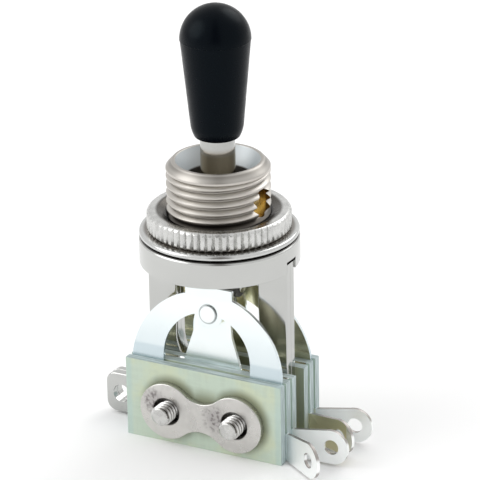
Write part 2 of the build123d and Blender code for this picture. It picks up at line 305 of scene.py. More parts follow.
def eased(outline, radius, steps=4):
    """The same pairs with each inner corner rounded off by a short curve."""
    points = [Vector(pair) for pair in outline]
    made = [points[0]]
    for before, corner, after in zip(points, points[1:], points[2:]):
        reach = min(radius, (before - corner).length / 2, (after - corner).length / 2)
        start = corner + (before - corner).normalized() * reach
        end = corner + (after - corner).normalized() * reach
        for step in range(steps + 1):
            part = step / steps
            made.append(start.lerp(corner, part).lerp(corner.lerp(end, part), part))
    made.append(points[-1])
    return made


def turned(name, outline, steps):
    """A solid turned about Z from (radius, height) pairs that close up or end on the axis."""
    piece = traced(name, profile(outline))
    bpy.ops.mesh.spin(steps=steps, angle=math.tau, center=(0, 0, 0), axis=(0, 0, 1))
    tidy(piece)
    return piece


def rod(name, radius, start, end, steps):
    """A round bar between two points on a line along X, Y or Z."""
    deselect()
    along = Vector(end) - Vector(start)
    bpy.ops.mesh.primitive_cylinder_add(vertices=steps, radius=radius, depth=along.length)
    bar = bpy.context.object
    bar.name = name
    place(bar, (Vector(start) + Vector(end)) / 2, along.to_track_quat("Z", "Y").to_euler())
    return bar


def block(name, corner, opposite):
    """A box between two corners."""
    deselect()
    corner, opposite = (Vector(map(pick_end, corner, opposite)) for pick_end in (min, max))
    bpy.ops.mesh.primitive_cube_add(size=1)
    box = bpy.context.object
    box.name = name
    box.scale = opposite - corner
    place(box, (corner + opposite) / 2)
    return box


def thread_ridge(sizes, crest, foot, top, steps):
    """A helical ridge about Z, with straight flanks and a narrow crest, closed at both ends."""
    root = crest - sizes.depth
    flank, flat = 0.46 * sizes.pitch, 0.09 * sizes.pitch
    outline = (
        (root - sizes.depth, flank), (root, flank), (crest, flat),
        (crest, -flat), (root, -flank), (root - sizes.depth, -flank),
    )
    points = [point + Vector((0, 0, foot)) for point in profile(eased(outline, 0.03 * sizes.pitch, 2))]
    ridge = traced("thread", points + points[:1])
    bpy.ops.mesh.remove_doubles(threshold=MERGE)
    deselect()
    apply_modifier(
        ridge, "SCREW", axis="Z", angle=math.tau, screw_offset=sizes.pitch,
        iterations=math.ceil((top - foot) / sizes.pitch), steps=steps, render_steps=steps,
    )
    edit(ridge)
    bpy.ops.mesh.fill_holes(sides=0)
    bpy.ops.mesh.select_all(action="SELECT")
    bpy.ops.mesh.normals_make_consistent(inside=False)
    deselect()
    return ridge


def add_thread(piece, ridge, envelope, steps):
    """Adds the part of a thread's ridge that lies inside a turned envelope."""
    combine(ridge, turned("thread_envelope", envelope, steps), "INTERSECT")
    combine(piece, ridge, "UNION")


def copied(node, name):
    """A merged copy of a construction node, its flat faces whole again."""
    piece = bpy.data.objects.new(name, frame["nodes"][node].data.copy())
    bpy.context.scene.collection.objects.link(piece)
    piece.data.materials.clear()
    pick(piece)
    bpy.ops.mesh.customdata_custom_splitnormals_clear()
    edit(piece)
    bpy.ops.mesh.remove_doubles(threshold=MERGE)
    bpy.ops.mesh.dissolve_limited(angle_limit=math.radians(0.5))
    deselect()
    return piece


def rounded_edges(piece, width, segments=2, angle=50):
    """Rounds a piece's sharp edges."""
    apply_modifier(
        piece, "BEVEL", width=width, segments=segments, limit_method="ANGLE",
        angle_limit=math.radians(angle), use_clamp_overlap=True,
    )


def smooth(piece, angle):
    """Shades a piece smooth, apart from edges sharper than angle degrees."""
    pick(piece)
    bpy.ops.object.shade_smooth_by_angle(angle=math.radians(angle))
    deselect()


def flattened(piece):
    """Shades a piece smooth with its large faces flat, so that only the rounded edges shine."""
    smooth(piece, 30)
    apply_modifier(piece, "WEIGHTED_NORMAL", mode="FACE_AREA", weight=80, keep_sharp=True)
    deselect()


def stand_in(piece, name, body, slot, nodes, *more_slots):
    """Names a finished piece, gives it its finish and lets it stand for construction nodes."""
    piece.name = piece.data.name = name
    piece.data.materials.clear()
    for key in (slot, *more_slots):
        piece.data.materials.append(FINISHES[key])
    piece.data.polygons.foreach_set("material_index", [0] * len(piece.data.polygons))
    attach(piece, body)
    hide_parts(*nodes)
    return piece


def refined(node, name, body, slot, edge=0, flat=False, within=None, **rounding):
    """Stands a copy of a node in its place, with rounded edges and cut to what lies within a block."""
    piece = copied(node, name)
    if edge:
        rounded_edges(piece, edge, **rounding)
    if within:
        combine(piece, within, "INTERSECT")
    if flat:
        flattened(piece)
    else:
        smooth(piece, 40)
    return stand_in(piece, name, body, slot, [node])


# -------- finishes
class Pattern:
    """Nodes that make masks and colours, in a material or in the world."""

    def __init__(self, owner, coordinates):
        owner.use_nodes = True
        self.nodes = owner.node_tree.nodes
        self.links = owner.node_tree.links
        self.place = self.nodes.new("ShaderNodeTexCoord").outputs[coordinates]

    def feed(self, socket, value):
        """Sets a socket to a number or colour, or links another node's output to it."""
        if isinstance(value, bpy.types.NodeSocket):
            self.links.new(value, socket)
        elif hasattr(value, "__len__") and len(value) == 3 and len(socket.default_value) == 4:
            socket.default_value = (*value, 1)
        else:
            socket.default_value = value

    def made(self, kind, output, inputs, **settings):
        """Adds a node with these settings and inputs, and returns its output."""
        node = self.nodes.new(kind)
        for key, value in settings.items():
            setattr(node, key, value)
        for key, value in inputs.items():
            self.feed(node.inputs[key], value)
        return node.outputs[output]

    def ranged(self, value, start, end, low_end, high_end):
        """Maps start..end of value to low_end..high_end, with soft ends."""
        return self.made(
            "ShaderNodeMapRange", "Result",
            {"Value": value, "From Min": start, "From Max": end, "To Min": low_end, "To Max": high_end},
            interpolation_type="SMOOTHSTEP",
        )

    def above(self, value, start, end, full=1.0):
        """A mask: 0 up to start, full from end."""
        return self.ranged(value, start, end, 0.0, full)

    def below(self, value, start, end, full=1.0):
        """A mask: full up to start, 0 from end."""
        return self.ranged(value, start, end, full, 0.0)

    def math(self, operation, first, second=0.0):
        """One step of arithmetic."""
        return self.made("ShaderNodeMath", "Value", {0: first, 1: second}, operation=operation)

    def size(self, value):
        """A number without its sign."""
        return self.math("ABSOLUTE", value)

    def both(self, first, *others):
        """Where all of these masks are: their product."""
        for other in others:
            first = self.math("MULTIPLY", first, other)
        return first

    def either(self, first, *others):
        """Where any of these masks is: the largest of them."""
        for other in others:
            first = self.math("MAXIMUM", first, other)
        return first

    def vector(self, operation, first, second=(0, 0, 0)):
        """One step of vector arithmetic. A length or a dot product is a number."""
        output = "Value" if operation in ("LENGTH", "DOT_PRODUCT") else "Vector"
        inputs = {0: first, 1: tuple(second)}
        return self.made("ShaderNodeVectorMath", output, inputs, operation=operation)

    def mix(self, factor, first, second):
        """A colour between two colours."""
        return self.made("ShaderNodeMix", 2, {0: factor, 6: first, 7: second}, data_type="RGBA")


class Finish(Pattern):
    """A material made of nodes. Its patterns read Object coordinates, which are metres here."""

    def __init__(self, slot, tones, roughness, metallic=0.0, specular=0.5):
        self.slot = slot
        self.material = bpy.data.materials.new(slot)
        super().__init__(self.material, "Object")
        self.shader = self.nodes["Principled BSDF"]
        self.shader.inputs["Metallic"].default_value = metallic
        self.shader.inputs["Roughness"].default_value = roughness
        self.shader.inputs["Specular IOR Level"].default_value = specular
        self.tones = tones
        self.relief = None

    def noise(self, size, detail=4, stretch=None):
        """Soft noise from 0 to 1 whose blotches are about size metres across."""
        place = self.place
        if stretch:
            place = self.made("ShaderNodeMapping", "Vector", {"Vector": place, "Scale": stretch})
        inputs = {"Vector": place, "Scale": 1 / size, "Detail": detail}
        return self.made("ShaderNodeTexNoise", "Fac", inputs)

    def along(self, axis, vector=None):
        """Place along X, Y or Z, or that part of another vector."""
        return self.made("ShaderNodeSeparateXYZ", axis, {"Vector": vector or self.place})

    def facing(self, axis):
        """How far the surface faces along X, Y or Z, from -1 to 1."""
        return self.along(axis, self.made("ShaderNodeNewGeometry", "Normal", {}))

    def distance(self, centre=(0, 0, 0), across=(1, 1, 0)):
        """Distance from a line through centre, measured across it: as given, from the bushing's axis."""
        shifted = self.vector("SUBTRACT", self.place, centre)
        return self.vector("LENGTH", self.vector("MULTIPLY", shifted, across))

    def spot(self, centre, start, end):
        """A round mask about a line along Y through centre: 1 up to start, 0 from end."""
        return self.below(self.distance(centre, (1, 0, 1)), start, end)

    def at_screws(self, start, end, shift=(0, 0, 0)):
        """Round masks about both clamp screws."""
        return self.either(*(self.spot(middle(node) + Vector(shift), start, end) for node in SCREWS))

    def lay(self, tone, *masks):
        """Lays a colour over the others where all of these masks are."""
        self.tones = self.mix(self.both(*masks), self.tones, tone)

    def gloss(self, value):
        """Lets the roughness vary."""
        self.feed(self.shader.inputs["Roughness"], value)

    def bump(self, height, depth, strength):
        """Adds a bump of about depth metres. A later bump is laid over the earlier ones."""
        inputs = {"Height": height, "Distance": depth, "Strength": strength}
        if self.relief:
            inputs["Normal"] = self.relief
        self.relief = self.made("ShaderNodeBump", "Normal", inputs)
        self.links.new(self.relief, self.shader.inputs["Normal"])

    def painted(self):
        """The material, with all its colours laid."""
        self.feed(self.shader.inputs["Base Color"], self.tones)
        return self.material


def darker(tone, part):
    """A colour with its brightness multiplied by part."""
    return tuple(channel * part for channel in tone)


def plated(slot, tone, roughness, blotch=1.5 * MM, shade=0.93, pits=0.12, scratches=0.0):
    """Plated metal: cloudy plating, fine pits and, where scratches is above 0, thin scratches."""
    finish = Finish(slot, darker(tone, shade), roughness, metallic=1.0)
    finish.lay(tone, finish.above(finish.noise(blotch, detail=3), 0.35, 0.65))
    wear = finish.noise(blotch * 0.6, detail=2)
    finish.gloss(finish.ranged(wear, 0.3, 0.7, roughness * 0.85, roughness * 1.2))
    finish.bump(finish.noise(0.15 * MM, detail=2), 0.003 * MM, pits)
    if scratches:
        streaks = finish.noise(0.25 * MM, detail=2, stretch=(1, 0.2, 0.08))
        finish.bump(finish.above(streaks, 0.62, 0.66), 0.003 * MM, scratches)
    return finish


def cap_finish(colours):
    """Black moulded plastic with a faint mould texture and a few grains of dust."""
    finish = Finish("tip_black", tuple(colours.cap), 0.30, specular=0.085)
    finish.shader.inputs["Specular Tint"].default_value = (0.72, 0.93, 1.0, 1)
    finish.bump(finish.noise(0.35 * MM, detail=3), 0.006 * MM, 0.25)
    grains = finish.made(
        "ShaderNodeTexVoronoi", "Distance", {"Vector": finish.place, "Scale": 1 / (0.9 * MM)}
    )
    patch = finish.above(finish.noise(2.5 * MM), 0.55, 0.7)
    finish.lay((0.10, 0.10, 0.11), finish.below(grains, 0.02, 0.045), patch)
    finish.gloss(finish.ranged(finish.noise(1.2 * MM), 0.35, 0.7, 0.26, 0.34))
    return finish


def lever_finish(colours):
    """Bright nickel on the lever, with a painted brown reflection of the bushing's mouth where it enters the
    bushing.
    """
    finish = plated("lever_steel", darker(colours.nickel, 0.88), 0.12, blotch=2.5 * MM, pits=0.04)
    height, rim = finish.along("Z"), high("housing").z
    # Painted reflection: brown just above the bushing's rim, standing in for the mouth's wall mirrored in the
    # shaft.
    painted_reflection = finish.below(height, rim + 0.6 * MM, rim + 1.9 * MM, 0.92)
    finish.lay((0.27, 0.22, 0.145), painted_reflection, finish.above(height, 0, 2 * MM))
    return finish


def bushing_finish(colours):
    """Nickel on the turned housing, darker on the threaded barrel and its bevel, with painted shade in the
    thread's roots, beside the nut, in the throat, in the slots and on the collar's upper edge.
    """
    sizes = bpy.context.scene.switch_bushing
    finish = plated("housing_nickel", tuple(colours.warm_nickel), 0.24, blotch=1.2 * MM, shade=0.88)
    radius, height, across = finish.distance(), finish.along("Z"), finish.along("Y")
    root = THREAD_RADIUS - sizes.depth
    rim_inner = THREAD_RADIUS - sizes.bevel - sizes.rim
    barrel = finish.both(
        finish.above(radius, THREAD_RADIUS - 1.2 * MM, THREAD_RADIUS - 1.1 * MM),
        finish.below(radius, THREAD_RADIUS + 0.1 * MM, THREAD_RADIUS + 0.2 * MM),
        finish.above(height, 0.2 * MM, 0.3 * MM),
    )
    finish.lay(darker(colours.warm_nickel, 0.86), barrel)
    bevel_foot = high("housing").z - sizes.bevel_height - 0.05 * MM
    bevel = finish.above(height, bevel_foot, bevel_foot + 0.1 * MM)
    finish.lay(darker(colours.warm_nickel, 0.68), barrel, bevel)
    nut_top = high("knurled_nut").z
    # Painted shade: near black on the thread just above the nut, standing in for the thread's shadowed base.
    shade_beside_nut = finish.below(height, nut_top - 0.15 * MM, nut_top + 0.1 * MM, 0.9)
    finish.lay(darker(colours.painted_shade, 0.55), barrel, shade_beside_nut)
    # Painted shade in the thread's roots, standing in for the shade between the turns.
    grooves = finish.both(
        finish.below(radius, root - 0.02 * MM, root + 0.3 * MM),
        finish.above(radius, root - 0.12 * MM, root - 0.08 * MM, 0.35),
    )
    finish.lay(tuple(colours.painted_shade), grooves)
    collar = finish.above(radius, THREAD_RADIUS + 0.2 * MM, THREAD_RADIUS + 0.4 * MM)
    finish.lay(tuple(colours.nickel), collar)
    above_ball = finish.above(height, 6.0 * MM, 6.2 * MM)
    cone = finish.both(finish.below(radius, rim_inner - 0.08 * MM, rim_inner + 0.02 * MM), above_ball)
    finish.lay((0.62, 0.655, 0.67), cone)
    finish.gloss(finish.either(finish.ranged(cone, 0, 1, 0.22, 0.55), finish.both(barrel, 0.36)))
    # Painted shade: dark colour on the throat and bore walls, standing in for the shade inside the hole.
    throat = finish.below(radius, sizes.throat, sizes.throat + 0.1 * MM, 0.85)
    finish.lay(tuple(colours.painted_shade), throat)
    # Painted shade: near black on the collar's upper edge under the washer and in the slots beside the frame,
    # standing in for the shade in these gaps.
    collar_top_shade = finish.above(height, -0.16 * MM, -0.08 * MM)
    slot_back, slot_front = high("frame").y, low("frame").y - sizes.slot_gap
    slot_top = low("housing").z + sizes.slot_height
    slot = finish.both(
        finish.below(across, slot_back - 0.06 * MM, slot_back - 0.03 * MM),
        finish.above(across, slot_front - 0.03 * MM, slot_front - 0.01 * MM),
        finish.below(height, slot_top, slot_top + 0.03 * MM),
    )
    finish.lay(darker(colours.painted_shade, 0.25), finish.either(collar_top_shade, slot), collar, 0.88)
    return finish


def nut_finish(colours):
    """Nickel, with a painted dark reflection of the shaded thread in the hollow beside it and painted shade in the
    gap next to the thread.
    """
    finish = plated("nut_nickel", (0.65, 0.65, 0.635), 0.26, blotch=0.9 * MM, shade=0.85)
    radius = finish.distance()
    # Painted reflection: dark brown beside the thread, standing in for the shaded thread mirrored in the nut's
    # top.
    dish = finish.below(radius, THREAD_RADIUS + 1.0 * MM, THREAD_RADIUS + 1.45 * MM, 0.95)
    finish.lay((0.06, 0.052, 0.042), dish)
    # Painted shade: near black in the gap next to the thread.
    thread_gap_shade = finish.below(radius, THREAD_RADIUS + 0.16 * MM, THREAD_RADIUS + 0.3 * MM, 0.95)
    finish.lay(darker(colours.painted_shade, 0.12), thread_gap_shade)
    return finish


def washer_finish(colours):
    """Nickel, with a painted shadow of the nut beside it and painted shade in the gap below the rim."""
    finish = plated("washer_nickel", (0.62, 0.625, 0.615), 0.18)
    nut = high("knurled_nut").x
    # Painted shadow: a dark ring beside the nut, standing in for the nut's shadow on the washer.
    ring = finish.below(finish.distance(), nut + 0.15 * MM, nut + 0.6 * MM, 0.8)
    finish.lay((0.13, 0.11, 0.09), ring)
    # Painted shade: near black below the rim, standing in for the shade in the gap over the collar.
    under_rim_shade = finish.below(finish.along("Z"), 0.12 * MM, 0.2 * MM, 0.93)
    finish.lay(darker(colours.painted_shade, 0.25), under_rim_shade)
    return finish


def frame_finish(colours):
    """Polished nickel with faint scratches."""
    return plated(
        "frame_nickel", tuple(colours.nickel), 0.12, blotch=4 * MM, shade=0.96, pits=0.05, scratches=0.1
    )


def clamp_finish(colours):
    """Nickel with dark scuffs and specks beside the screws, and painted shade in the countersinks."""
    finish = plated("clamp_nickel", (0.66, 0.645, 0.62), 0.30, blotch=2.2 * MM, shade=0.88, scratches=0.2)
    left, right = (middle(node) for node in SCREWS)
    scuffed = finish.either(
        finish.spot(left + Vector((-1.5, 0, 1.0)) * MM, 0.7 * MM, 2.0 * MM),
        finish.spot(right + Vector((-2.4, 0, 0.3)) * MM, 0.6 * MM, 2.1 * MM),
    )
    worn = finish.both(scuffed, finish.above(finish.noise(0.45 * MM, detail=6), 0.46, 0.62), 0.88)
    finish.lay((0.11, 0.095, 0.09), worn)
    finish.lay((0.32, 0.295, 0.30), scuffed, 0.45)
    # Painted shade in the countersinks around the screws, standing in for the shade in the holes.
    finish.lay(darker(colours.painted_shade, 0.4), finish.at_screws(1.62 * MM, 1.74 * MM), 0.9)
    finish.bump(worn, 0.02 * MM, 0.4)
    return finish


def screw_finish(colours):
    """Nickel, with painted shade in the thread's root."""
    finish = plated("screw_nickel", (0.66, 0.655, 0.64), 0.24, blotch=0.8 * MM, shade=0.85)
    end = low("left_screw").y
    behind_end = finish.above(finish.along("Y"), end + 0.12 * MM, end + 0.22 * MM)
    # Painted shade in the thread's root behind the end face.
    finish.lay(tuple(colours.painted_shade), finish.at_screws(1.02 * MM, 1.16 * MM), behind_end, 0.9)
    return finish


def rivet_radius():
    """Radius of the outer contact rivets' heads."""
    return (high("front_outer_contact").x - low("front_outer_contact").x) / 2


def leaf_finish(colours):
    """Silver plate, darker and bluer near the stack, near white on the lugs as a painted reflection, tarnished
    inside, dark on the lugs' sheared edges and with painted shade around the rivet.
    """
    finish = plated("leaf_silver", tuple(colours.silver), 0.24, blotch=3 * MM, shade=0.97, pits=0.05)
    top, lug = high("front_insulator_1").z, high("front_insulator_1").x
    length_along, across, height = (finish.along(axis) for axis in "XYZ")
    above = finish.above(height, top - 3 * MM, top - 1 * MM)
    outer = finish.above(finish.size(across), 3.0 * MM, 3.2 * MM)
    # Darker and bluer towards the top of the stack.
    darkened = finish.below(height, top + 1 * MM, top + 8 * MM, 0.75)
    finish.lay((0.68, 0.76, 0.79), darkened, above, outer)
    band = finish.below(height, top + 1.4 * MM, top + 1.9 * MM, 0.5)
    finish.lay((0.44, 0.55, 0.60), band, above, outer)
    # Painted reflection: the lugs near white, standing in for the bright floor they mirror; they are also rougher.
    beyond = finish.above(length_along, lug, lug + 0.3 * MM)
    finish.lay((0.985, 1.0, 0.995), beyond)
    finish.gloss(finish.ranged(beyond, 0, 1, 0.24, 0.42))
    inward = finish.below(finish.both(finish.math("SIGN", across), finish.facing("Y")), -0.6, -0.3)
    inside = finish.either(
        finish.below(length_along, lug, lug + 0.3 * MM), finish.math("SUBTRACT", 1.0, outer)
    )
    finish.lay((0.82, 0.77, 0.54), inward, inside, 0.92)
    edge = finish.above(finish.size(finish.facing("Z")), 0.25, 0.5)
    lug_only = finish.above(length_along, lug + 0.2 * MM, lug + 0.5 * MM)
    finish.lay((0.20, 0.165, 0.14), edge, lug_only, 0.75)
    head = rivet_radius()
    # Painted shade: a dark ring around the rivet's head where it meets the leaf.
    rivet_rim_shade = finish.spot(middle("front_outer_contact"), head + 0.03 * MM, head + 0.16 * MM)
    finish.lay((0.24, 0.26, 0.26), rivet_rim_shade, 0.55)
    return finish


def contact_finish(colours):
    """Silver, shaded around the rivet's rim."""
    finish = plated("contact_silver", tuple(colours.silver), 0.2, shade=0.97)
    head = rivet_radius()
    from_centre = finish.distance(middle("front_outer_contact"), (1, 0, 1))
    finish.lay((0.36, 0.38, 0.38), finish.above(from_centre, head - 0.22 * MM, head - 0.04 * MM))
    return finish


def laminate_finish(colours):
    """Glass fibre laminate: woven, with a painted shadow beside the clamp plates, painted shade on the faces
    beside the frame and layers on its sawn edges.
    """
    tone = tuple(colours.laminate)
    finish = Finish("insulator_green", tone, 0.5, specular=0.45)
    patches = finish.above(finish.noise(3.2 * MM, detail=3), 0.42, 0.68)
    finish.lay((tone[0] * 1.07, tone[1] * 1.01, tone[2] * 0.90), patches)
    warp = finish.noise(0.5 * MM, detail=2, stretch=(1.0, 6.0, 0.12))
    weft = finish.noise(0.5 * MM, detail=2, stretch=(0.12, 6.0, 1.0))
    weave = finish.both(warp, weft)
    finish.lay(darker(tone, 0.80), finish.above(weave, 0.18, 0.34, 0.22))
    half = high("front_insulator_1").x - middle("front_insulator_1").x
    off_centre = finish.vector("SUBTRACT", finish.place, middle("front_insulator_1"))
    # Painted light: a bluish band near both ends, standing in for light passing through the translucent laminate
    # near its edges.
    edge_light_band = finish.above(finish.size(finish.along("X", off_centre)), half - 1.0 * MM, half - 0.5 * MM)
    finish.lay((0.44, 0.57, 0.535), edge_light_band, 0.6)
    # Painted shadow: dark olive around the clamp plates, shifted up and right, standing in for the plates' shadow
    # on the laminate.
    shift = Vector((0.35, 0, 0.35)) * MM
    between = sum((middle(node) for node in SCREWS), Vector()) / 2 + shift
    plate_shadow = finish.either(
        finish.at_screws(3.1 * MM, 4.4 * MM, shift), finish.spot(between, 1.6 * MM, 3.6 * MM)
    )
    outermost, innermost = abs(low("front_insulator_3").y), abs(high("front_insulator_1").y)
    depth = finish.size(finish.along("Y"))
    outside = finish.above(depth, outermost - 0.12 * MM, outermost - 0.08 * MM)
    finish.lay((0.17, 0.18, 0.095), plate_shadow, outside, 0.78)
    # Painted shade: dark olive on the faces beside the frame.
    inner_face_shade = finish.below(depth, innermost + 0.03 * MM, innermost + 0.07 * MM, 0.6)
    finish.lay((0.15, 0.165, 0.075), inner_face_shade)
    sawn = finish.below(finish.size(finish.facing("Y")), 0.5, 0.8)
    layers = finish.above(finish.noise(0.16 * MM, detail=2, stretch=(0.03, 1.0, 0.03)), 0.42, 0.58)
    finish.lay(finish.mix(layers, (0.30, 0.375, 0.385), (0.56, 0.655, 0.68)), sawn, 0.85)
    finish.bump(weave, 0.01 * MM, 0.35)
    finish.gloss(finish.ranged(weave, 0.15, 0.4, 0.38, 0.6))
    return finish


def brass_finish(colours):
    """Bare brass in the pin recess, with painted light on its lower part, painted shade on its upper part and
    near-black painted shade at the rim.
    """
    finish = plated("pin_brass", tuple(colours.brass), 0.3, blotch=0.6 * MM, shade=0.6)
    finish.bump(finish.noise(0.3 * MM, detail=2, stretch=(4.0, 0.5, 0.5)), 0.02 * MM, 0.5)
    # Painted light: the brass brightened all over, as the lower part of the recess is lit from above.
    finish.lay((1.0, 0.84, 0.42), 0.6)
    # Painted shade: darker brass above the pivot, standing in for the recess's upper part in shade.
    darkened = finish.above(finish.along("Z"), PIVOT.z - 0.9 * MM, PIVOT.z + 1.2 * MM)
    finish.lay(darker(colours.brass, 0.5), darkened)
    # Painted shade: near black at the recess's rim, where the thread's turns end.
    rim = finish.above(finish.distance(), THREAD_RADIUS - 0.7 * MM, THREAD_RADIUS - 0.4 * MM, 0.85)
    finish.lay((0.09, 0.05, 0.02), rim)
    return finish


def bush_finish(colours):
    """Dark laminated fibre with pale specks."""
    finish = Finish("cam_plastic", tuple(colours.bush), 0.55)
    specks = finish.above(finish.noise(0.16 * MM, detail=5), 0.56, 0.66)
    finish.lay((0.34, 0.33, 0.31), specks)
    finish.bump(specks, 0.02 * MM, 0.6)
    return finish


def sleeve_finish(colours):
    """Pale insulating tube."""
    finish = Finish("sleeve_plastic", tuple(colours.sleeve), 0.45)
    finish.lay(darker(colours.sleeve, 0.85), finish.above(finish.noise(0.8 * MM), 0.4, 0.6))
    return finish


FINISH_MAKERS = (
    cap_finish, lever_finish, bush_finish, bushing_finish, brass_finish, washer_finish, nut_finish,
    frame_finish, leaf_finish, contact_finish, laminate_finish, clamp_finish, screw_finish, sleeve_finish,
)
FINISHES = {}


# -------- operators
class SWITCH_OT_finishes(bpy.types.Operator):
    """Makes the materials and gives each construction node its own"""

    bl_idname = "switch.finishes"
    bl_label = "Finishes"

    def execute(self, context):
        for make in FINISH_MAKERS:
            finish = make(context.scene.switch_colours)
            FINISHES[finish.slot] = finish.painted()
        for row in frame["record"]["subparts"]:
            materials = frame["nodes"][row["node"]].data.materials
            materials.clear()
            materials.append(FINISHES[row["material_slot"]])
        return {"FINISHED"}


class SWITCH_OT_tip(bpy.types.Operator):
    """Turns the moulded cap: dome, crease, taper and rounded lower edge"""

    bl_idname = "switch.tip"
    bl_label = "Lever tip"

    def execute(self, context):
        sizes = context.scene.switch_tip
        foot = low("lever_tip").z
        dome = high("lever_tip").x
        dome_z = high("lever_tip").z - dome
        turns = [math.pi / 2 * (1 - step / DOME_STEPS) for step in range(DOME_STEPS + 1)]
        arc = [(dome * math.cos(turn), dome_z + dome * math.sin(turn)) for turn in turns]
        lower = (
            (dome - sizes.crease, dome_z - sizes.crease),
            (sizes.foot_radius, foot + 0.9 * sizes.foot_round),
            (sizes.foot_radius - 0.35 * sizes.foot_round, foot + 0.05 * MM),
            (sizes.bore, foot),
        )
        bore_top = foot + sizes.bore_depth
        hole = [(sizes.bore, bore_top), (0, bore_top)]
        cap = turned("lever_tip_cap", arc + eased(lower, 0.55 * MM) + hole, CAP_STEPS)
        smooth(cap, 20)
        stand_in(cap, "lever_tip_cap", "lever", "tip_black", ["lever_tip"])
        return {"FINISHED"}


class SWITCH_OT_bushing(bpy.types.Operator):
    """Turns the housing, cuts its thread, pin recesses and frame slots"""

    bl_idname = "switch.bushing"
    bl_label = "Threaded bushing"

    def execute(self, context):
        sizes = context.scene.switch_bushing
        top, foot = high("housing").z, low("housing").z
        collar = high("housing").x
        root = THREAD_RADIUS - sizes.depth
        rim_outer = THREAD_RADIUS - sizes.bevel
        bevel_foot = top - sizes.bevel_height
        land_foot = bevel_foot - sizes.land
        throat_foot = top - sizes.funnel - sizes.throat_length
        run_in, run_out = 0.4 * MM, 0.12 * MM
        outline = (
            (sizes.mouth, foot), (collar, foot),
            (collar, -sizes.collar_edge), (collar - sizes.collar_edge, 0),
            (THREAD_RADIUS, 0), (THREAD_RADIUS, sizes.shoulder),
            (root, sizes.shoulder + run_in), (root, land_foot - run_out),
            (THREAD_RADIUS, land_foot), (THREAD_RADIUS, bevel_foot),
            (rim_outer, top), (rim_outer - sizes.rim, top),
            (sizes.throat, top - sizes.funnel), (sizes.throat, throat_foot),
            (sizes.bore, throat_foot - 0.3 * MM), (sizes.bore, foot + sizes.mouth_height),
            (sizes.mouth, foot),
        )
        housing = turned("housing_body", eased(outline, 0.07 * MM, 3), BARREL_STEPS)
        crest, ridge_foot = THREAD_RADIUS - 0.004 * MM, 0.6 * MM
        ridge = thread_ridge(sizes, crest, ridge_foot, top + sizes.pitch, BARREL_STEPS)
        inner, outer = root - 0.3 * MM, THREAD_RADIUS + 0.02 * MM
        thread_foot, thread_top = sizes.shoulder + 0.2 * MM, land_foot + 0.05 * MM
        envelope = (
            (inner, thread_foot), (outer, thread_foot), (outer, thread_top), (inner, thread_top),
            (inner, thread_foot),
        )
        add_thread(housing, ridge, envelope, BARREL_STEPS)
        pin = (high("pivot_pin").z - low("pivot_pin").z) / 2
        hole = rod("pin_hole", pin, (-collar, 0, PIVOT.z), (collar, 0, PIVOT.z), 48)
        combine(housing, hole, "DIFFERENCE")
        floor = THREAD_RADIUS - sizes.recess_depth
        recess_z = PIVOT.z + sizes.recess_rise
        for side in (-1, 1):
            ends = (side * floor, 0, recess_z), (side * collar, 0, recess_z)
            drill = rod("recess", sizes.recess, *ends, 96)
            combine(housing, drill, "DIFFERENCE")
            slot = block(
                "slot",
                (side * sizes.slot_floor, low("frame").y - sizes.slot_gap, foot - MM),
                (side * (collar + MM), high("frame").y, foot + sizes.slot_height),
            )
            combine(housing, slot, "DIFFERENCE")
        stand_in(housing, "housing_body", "base", "housing_nickel", ["housing"], "pin_brass")
        for face in housing.data.polygons:
            centre = face.center
            drilled = math.hypot(centre.y, centre.z - recess_z) < sizes.recess + 0.02 * MM
            if drilled and abs(centre.x) > sizes.throat + 0.1 * MM:
                face.material_index = 1
        smooth(housing, 32)
        return {"FINISHED"}


class SWITCH_OT_nut(bpy.types.Operator):
    """Turns the round nut and cuts its straight, slightly uneven teeth"""

    bl_idname = "switch.nut"
    bl_label = "Knurled nut"

    def execute(self, context):
        sizes = context.scene.switch_nut
        foot, top = low("knurled_nut").z, high("knurled_nut").z
        radius = high("knurled_nut").x
        inner = THREAD_RADIUS + sizes.dish_gap
        outline = (
            (THREAD_RADIUS, (foot + top) / 2), (THREAD_RADIUS, foot),
            (radius - sizes.chamfer, foot), (radius, foot + sizes.chamfer),
            (radius, top - sizes.chamfer), (radius - sizes.chamfer, top),
            (inner + sizes.dish_width, top), (inner, top - sizes.dish_depth),
            (THREAD_RADIUS, top - sizes.dish_depth), (THREAD_RADIUS, (foot + top) / 2),
        )
        blank = turned("nut_blank", eased(outline, 0.1 * MM, 3), 4 * sizes.teeth)
        dice = random.Random(7)
        pitch = math.tau / sizes.teeth
        crest = 0.18            # half the width of a tooth's crest, in pitches
        clear = 0.03 * MM       # how far the crests stay outside the blank
        points = []
        for tooth in range(sizes.teeth):
            groove = sizes.tooth_depth + dice.uniform(-1, 1) * sizes.unevenness
            turn = tooth * pitch + dice.uniform(-0.03, 0.03) * pitch
            for part, out in ((-0.5, -groove), (-crest, clear), (crest, clear)):
                reach = radius + out
                bearing = turn + part * pitch
                points.append(Vector((reach * math.cos(bearing), reach * math.sin(bearing), foot - MM)))
        teeth = traced("nut_teeth", points + points[:1])
        bpy.ops.mesh.remove_doubles(threshold=MERGE)
        bpy.ops.mesh.edge_face_add()
        bpy.ops.mesh.extrude_region_move(TRANSFORM_OT_translate={"value": (0, 0, top - foot + 2 * MM)})
        tidy(teeth)
        combine(blank, teeth, "INTERSECT")
        rounded_edges(blank, 0.035 * MM, segments=1, angle=40)
        smooth(blank, 30)
        stand_in(blank, "nut_body", "base", "nut_nickel", ["knurled_nut"])
        return {"FINISHED"}


